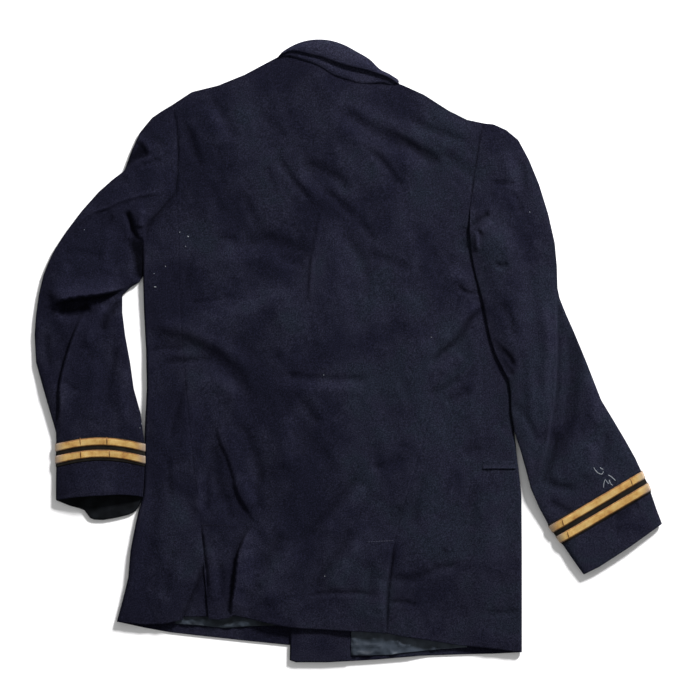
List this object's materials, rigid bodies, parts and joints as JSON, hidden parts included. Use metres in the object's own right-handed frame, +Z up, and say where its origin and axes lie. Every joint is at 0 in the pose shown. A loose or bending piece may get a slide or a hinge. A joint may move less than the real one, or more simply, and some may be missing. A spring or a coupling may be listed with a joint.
{
  "type": "service dress jacket",
  "caption": "Double-breasted navy wool dress jacket laid face down, with turned-down collar, side vents and gold lace rings round the cuffs.",
  "frame": {"origin": "bottom centre of the bounding box, on the surface that the jacket lies on", "axes": "+Z up out of the jacket's back, +Y towards the collar, +X to the wearer's right"},
  "size_m": [0.878, 0.8714, 0.0179],
  "materials": {
    "back": "matt navy wool",
    "side_left": "matt navy wool",
    "side_right": "matt navy wool",
    "front_left": "matt navy wool",
    "front_right": "matt navy wool",
    "sleeve_left": "matt navy wool",
    "sleeve_right": "matt navy wool",
    "collar": "matt navy wool",
    "lapel_left": "matt navy wool",
    "lapel_right": "matt navy wool",
    "facing_right": "matt navy wool",
    "lining_left": "smooth blue-grey lining",
    "lining_right": "smooth blue-grey lining",
    "vent_underlap_left": "matt navy wool",
    "vent_underlap_right": "matt navy wool",
    "pocket_welt_right": "matt navy wool",
    "cuff_backing_left": "matt black braid backing",
    "cuff_backing_right": "matt black braid backing",
    "lace_lower_left": "woven gold lace, slightly tarnished",
    "lace_lower_right": "woven gold lace, slightly tarnished",
    "lace_upper_left": "woven gold lace, slightly tarnished",
    "lace_upper_right": "woven gold lace, slightly tarnished",
    "button_1": "plain satin gilt",
    "button_2": "plain satin gilt",
    "button_3": "plain satin gilt",
    "button_4": "plain satin gilt",
    "button_5": "plain satin gilt",
    "button_6": "plain satin gilt"
  },
  "bodies": {
    "root": {"back": "back", "side_left": "side_left", "side_right": "side_right", "front_left": "front_left", "front_right": "front_right", "sleeve_left": "sleeve_left", "sleeve_right": "sleeve_right", "collar": "collar", "lapel_left": "lapel_left", "lapel_right": "lapel_right", "facing_right": "facing_right", "lining_left": "lining_left", "lining_right": "lining_right", "vent_underlap_left": "vent_underlap_left", "vent_underlap_right": "vent_underlap_right", "pocket_welt_right": "pocket_welt_right", "cuff_backing_left": "cuff_backing_left", "cuff_backing_right": "cuff_backing_right", "lace_lower_left": "lace_lower_left", "lace_lower_right": "lace_lower_right", "lace_upper_left": "lace_upper_left", "lace_upper_right": "lace_upper_right", "button_1": "button_1", "button_2": "button_2", "button_3": "button_3", "button_4": "button_4", "button_5": "button_5", "button_6": "button_6"}
  },
  "joints": []
}
